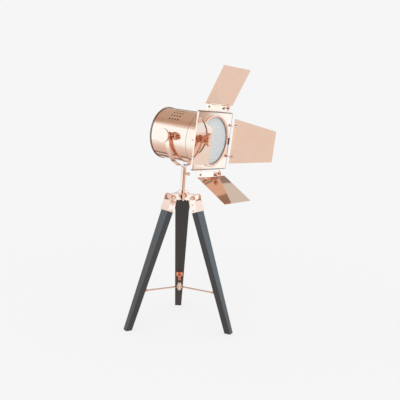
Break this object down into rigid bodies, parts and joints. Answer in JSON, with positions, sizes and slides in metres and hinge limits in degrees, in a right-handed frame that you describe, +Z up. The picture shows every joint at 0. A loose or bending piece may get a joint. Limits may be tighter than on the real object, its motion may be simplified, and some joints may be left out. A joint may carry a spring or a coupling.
{
  "type": "tabletop searchlight lamp",
  "caption": "Small copper-plated searchlight lamp with folding barn doors, panning and tilting in a yoke on a black wooden tripod.",
  "frame": {"origin": "on the table under the swivel axis, midway between the feet", "axes": "+Z up along the swivel axis, the lamp faces -Y at rest, +X is the lamp's right-hand door as seen from in front of the table facing it from -Y"},
  "size_m": [0.2724, 0.2909, 0.65],
  "materials": {
    "copper_plate": "mirror-polished copper plate on sheet and turned steel",
    "bright_steel": "bright zinc-plated steel",
    "black_wood": "black stain under satin lacquer",
    "frosted_glass": "frosted on the inside",
    "opal_glass": "opal bulb glass, with the screw cap counted in",
    "black_holder": "gloss black moulding",
    "black_plastic": "satin black moulding"
  },
  "bodies": {
    "tripod": {"hub": "copper_plate", "pole": "copper_plate", "leg_front": "black_wood", "leg_right": "black_wood", "leg_left": "black_wood", "leg_sleeve_front": "copper_plate", "leg_sleeve_right": "copper_plate", "leg_sleeve_left": "copper_plate", "leg_bolts": "copper_plate", "acorn_nuts": "copper_plate", "brace_hub": "copper_plate", "brace_bolt": "copper_plate", "brace_strap_front": "copper_plate", "brace_strap_right": "copper_plate", "brace_strap_left": "copper_plate", "brace_bracket_front": "copper_plate", "brace_bracket_right": "copper_plate", "brace_bracket_left": "copper_plate", "bracket_screws": "copper_plate"},
    "swivel": {"yoke": "copper_plate", "swivel_spigot": "copper_plate", "swivel_nut": "bright_steel"},
    "head": {"drum_shell": "copper_plate", "rear_cover": "copper_plate", "front_collar": "copper_plate", "door_frame": "copper_plate", "lens_ring": "copper_plate", "lens": "frosted_glass", "lens_snap_ring": "bright_steel", "ring_clip_left": "copper_plate", "ring_clip_right": "copper_plate", "holder_nipple": "bright_steel", "lamp_holder": "black_holder", "bulb": "opal_glass", "cord_gland": "black_plastic", "pivot_bolt_left": "bright_steel", "pivot_bolt_right": "bright_steel", "pivot_spacer_left": "copper_plate", "pivot_spacer_right": "copper_plate", "hinge_screws_top": "copper_plate", "hinge_screws_bottom": "copper_plate", "hinge_screws_left": "copper_plate", "hinge_screws_right": "copper_plate"},
    "set_screw": {"pole_set_screw": "copper_plate"},
    "knob_left": {"knob_left": "copper_plate"},
    "knob_right": {"knob_right": "copper_plate"},
    "door_top": {"door_top": "copper_plate"},
    "door_bottom": {"door_bottom": "copper_plate"},
    "door_left": {"door_left": "copper_plate"},
    "door_right": {"door_right": "copper_plate"}
  },
  "joints": [
    {"name": "head_pan", "type": "hinge", "parent": "tripod", "child": "swivel", "pos_m": [0, 0, 0.4], "axis": [0, 0, 1], "range_deg": [-170, 170]},
    {"name": "head_tilt", "type": "hinge", "parent": "swivel", "child": "head", "pos_m": [0, 0, 0.486], "axis": [-1, 0, 0], "range_deg": [-14, 26]},
    {"name": "knob_left_turn", "type": "hinge", "parent": "head", "child": "knob_left", "pos_m": [-0.0718, 0, 0.486], "axis": [-1, 0, 0], "range_deg": [0, 360]},
    {"name": "knob_right_turn", "type": "hinge", "parent": "head", "child": "knob_right", "pos_m": [0.0718, 0, 0.486], "axis": [1, 0, 0], "range_deg": [0, 360]},
    {"name": "set_screw_turn", "type": "hinge", "parent": "tripod", "child": "set_screw", "pos_m": [0.00739, -0.00946, 0.39], "axis": [0.6157, -0.788, 0], "range_deg": [0, 360]},
    {"name": "door_top_hinge", "type": "hinge", "parent": "head", "child": "door_top", "pos_m": [0, -0.09902, 0.55754], "axis": [-1, 0, 0], "range_deg": [-93.9, 33.1]},
    {"name": "door_bottom_hinge", "type": "hinge", "parent": "head", "child": "door_bottom", "pos_m": [0, -0.08198, 0.39543], "axis": [1, 0, 0], "range_deg": [-55.4, 61.6]},
    {"name": "door_left_hinge", "type": "hinge", "parent": "head", "child": "door_left", "pos_m": [-0.0769, -0.09667, 0.47584], "axis": [0, 0.1045, -0.9945], "range_deg": [-82, 65]},
    {"name": "door_right_hinge", "type": "hinge", "parent": "head", "child": "door_right", "pos_m": [0.0769, -0.09667, 0.47584], "axis": [0, -0.1045, 0.9945], "range_deg": [-73.3, 73.7]}
  ]
}
